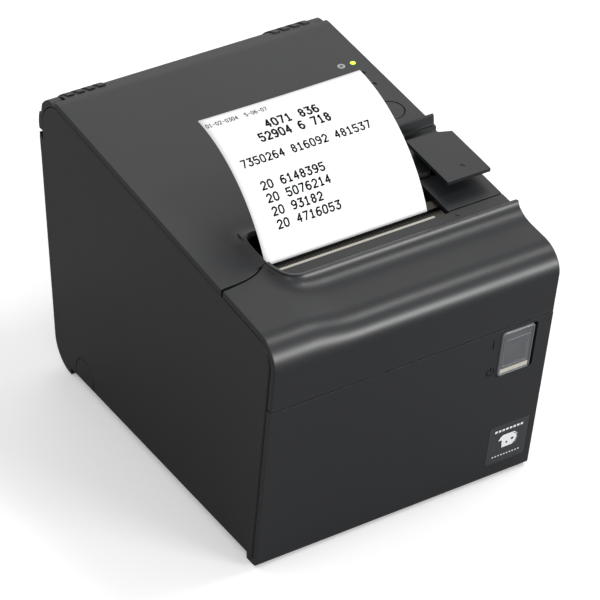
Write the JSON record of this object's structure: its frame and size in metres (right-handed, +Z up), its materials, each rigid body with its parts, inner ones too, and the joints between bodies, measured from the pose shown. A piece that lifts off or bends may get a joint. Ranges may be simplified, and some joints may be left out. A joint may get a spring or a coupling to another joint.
{
  "type": "receipt printer",
  "caption": "Counter-top thermal receipt printer, a wedge-shaped case with a sloping roll cover that opens, a sliding front cover, a lever, a feed button and a curling receipt.",
  "frame": {"origin": "on the ground, under the middle of the printer's box", "axes": "+X to the right as seen facing the front, +Y towards the back, +Z up"},
  "size_m": [0.14, 0.2092, 0.1729],
  "materials": {
    "case_plastic": "fine-grained satin charcoal",
    "inner_plastic": "plain moulded black",
    "rocker_plastic": "moulded dark grey",
    "guard_clear": "clear smoky plastic, taken as glass for its see-through look",
    "label": "printed sticker",
    "rubber": "matte",
    "steel": "zinc-plated sheet and bar",
    "spring_steel": "spring wire",
    "blade_steel": "polished, ground edge",
    "aluminium": "extruded, satin",
    "ceramic": "glazed ceramic strip",
    "gear_plastic": "natural acetal",
    "motor_metal": "pressed can",
    "circuit_board": "green solder mask",
    "socket_plastic": "moulded black",
    "lamp_lit": "lit yellow-green light pipe",
    "lamp_dark": "unlit light pipe",
    "paper": null,
    "core_board": null
  },
  "bodies": {
    "case": {"base_chassis": "case_plastic", "rear_cover": "case_plastic", "side_panel_left": "case_plastic", "side_panel_right": "case_plastic", "front_panel": "case_plastic", "compatibility_label": "label", "switch_housing": "inner_plastic", "switch_guard": "guard_clear", "rubber_feet": "rubber", "case_screws": "steel", "roll_bucket": "inner_plastic", "paper_end_sensor": "inner_plastic", "paper_web": "paper", "guide_bar": "steel", "main_board": "circuit_board", "interface_plate": "steel", "interface_board": "circuit_board", "power_inlet": "socket_plastic", "drawer_socket": "socket_plastic", "data_socket": "socket_plastic", "mechanism_frame": "steel", "feed_motor": "motor_metal", "idler_stud": "steel", "head_pin": "steel", "head_springs": "spring_steel", "latch_pin": "steel", "cover_sensor": "inner_plastic", "tear_blade": "blade_steel", "cutter_cover": "case_plastic", "cutter_motor": "motor_metal", "hinge_pin": "steel"},
    "front_cover": {"front_cover": "case_plastic"},
    "power_rocker": {"switch_rocker": "rocker_plastic"},
    "print_head": {"head_heatsink": "aluminium", "thermal_head": "ceramic"},
    "cutter": {"cutter_blade": "blade_steel"},
    "cutter_drive": {"cutter_pinion": "gear_plastic"},
    "paper_roll": {"paper_roll": "paper", "paper_core": "core_board"},
    "feed_pinion": {"motor_pinion": "gear_plastic"},
    "idler": {"idler_gear": "gear_plastic"},
    "roll_cover": {"roll_cover": "case_plastic", "roll_cover_liner": "inner_plastic", "counter_blade": "blade_steel", "platen_bushes": "gear_plastic", "status_board": "circuit_board", "power_lamp": "lamp_lit", "warning_lamps": "lamp_dark", "button_spring": "spring_steel", "lever_pin": "steel", "lever_spring": "spring_steel", "lever_step": "case_plastic", "receipt": "paper"},
    "platen": {"platen_shaft": "steel", "platen_roller": "rubber", "platen_gear": "gear_plastic"},
    "feed_button": {"feed_button": "case_plastic"},
    "cover_lever": {"cover_lever": "case_plastic"}
  },
  "joints": [
    {"name": "roll_cover_hinge", "type": "hinge", "parent": "case", "child": "roll_cover", "pos_m": [0, 0.0882, 0.1363], "axis": [-1, 0, 0], "range_deg": [0, 95]},
    {"name": "front_cover_slide", "type": "slide", "parent": "case", "child": "front_cover", "axis": [0, -1, 0], "range_m": [0, 0.03]},
    {"name": "power_rocker_tilt", "type": "hinge", "parent": "case", "child": "power_rocker", "pos_m": [0.0531, -0.09259, 0.07771], "axis": [1, 0, 0], "range_deg": [0, 18]},
    {"name": "head_tip", "type": "hinge", "parent": "case", "child": "print_head", "pos_m": [0, -0.0617, 0.107], "axis": [1, 0, 0], "range_deg": [0, 1], "stiffness_Nm_per_rad": 3, "springref_deg": -5.73},
    {"name": "cutter_slide", "type": "slide", "parent": "case", "child": "cutter", "axis": [0, 0.993, 0.1184], "range_m": [0, 0.006]},
    {"name": "cutter_pinion_spin", "type": "hinge", "parent": "case", "child": "cutter_drive", "pos_m": [0.04502, -0.06166, 0.12626], "axis": [0, -0.1184, 0.993], "range_deg": [-75, 0]},
    {"name": "paper_roll_spin", "type": "hinge", "parent": "case", "child": "paper_roll", "pos_m": [0, 0.028, 0.0493], "axis": [1, 0, 0], "continuous": true},
    {"name": "feed_motor_spin", "type": "hinge", "parent": "case", "child": "feed_pinion", "pos_m": [0, -0.05306, 0.08182], "axis": [1, 0, 0], "continuous": true},
    {"name": "idler_spin", "type": "hinge", "parent": "case", "child": "idler", "pos_m": [0, -0.0446, 0.09648], "axis": [1, 0, 0], "continuous": true},
    {"name": "platen_spin", "type": "hinge", "parent": "roll_cover", "child": "platen", "pos_m": [0, -0.0475, 0.118], "axis": [1, 0, 0], "continuous": true},
    {"name": "feed_button_press", "type": "slide", "parent": "roll_cover", "child": "feed_button", "axis": [0, 0.1184, -0.993], "range_m": [0, 0.0008], "stiffness_N_per_m": 600, "springref_m": -0.0005, "deforming": ["button_spring"]},
    {"name": "cover_lever_lift", "type": "hinge", "parent": "roll_cover", "child": "cover_lever", "pos_m": [0, -0.02, 0.1318], "axis": [-1, 0, 0], "range_deg": [0, 20], "stiffness_Nm_per_rad": 0.05, "springref_deg": -11.46}
  ],
  "couplings": [
    {"joint": "platen_spin", "follows": "paper_roll_spin", "ratio": -5},
    {"joint": "idler_spin", "follows": "paper_roll_spin", "ratio": 4},
    {"joint": "feed_motor_spin", "follows": "paper_roll_spin", "ratio": -10},
    {"joint": "cutter_pinion_spin", "follows": "cutter_slide", "rad_per_m": -208.33}
  ]
}
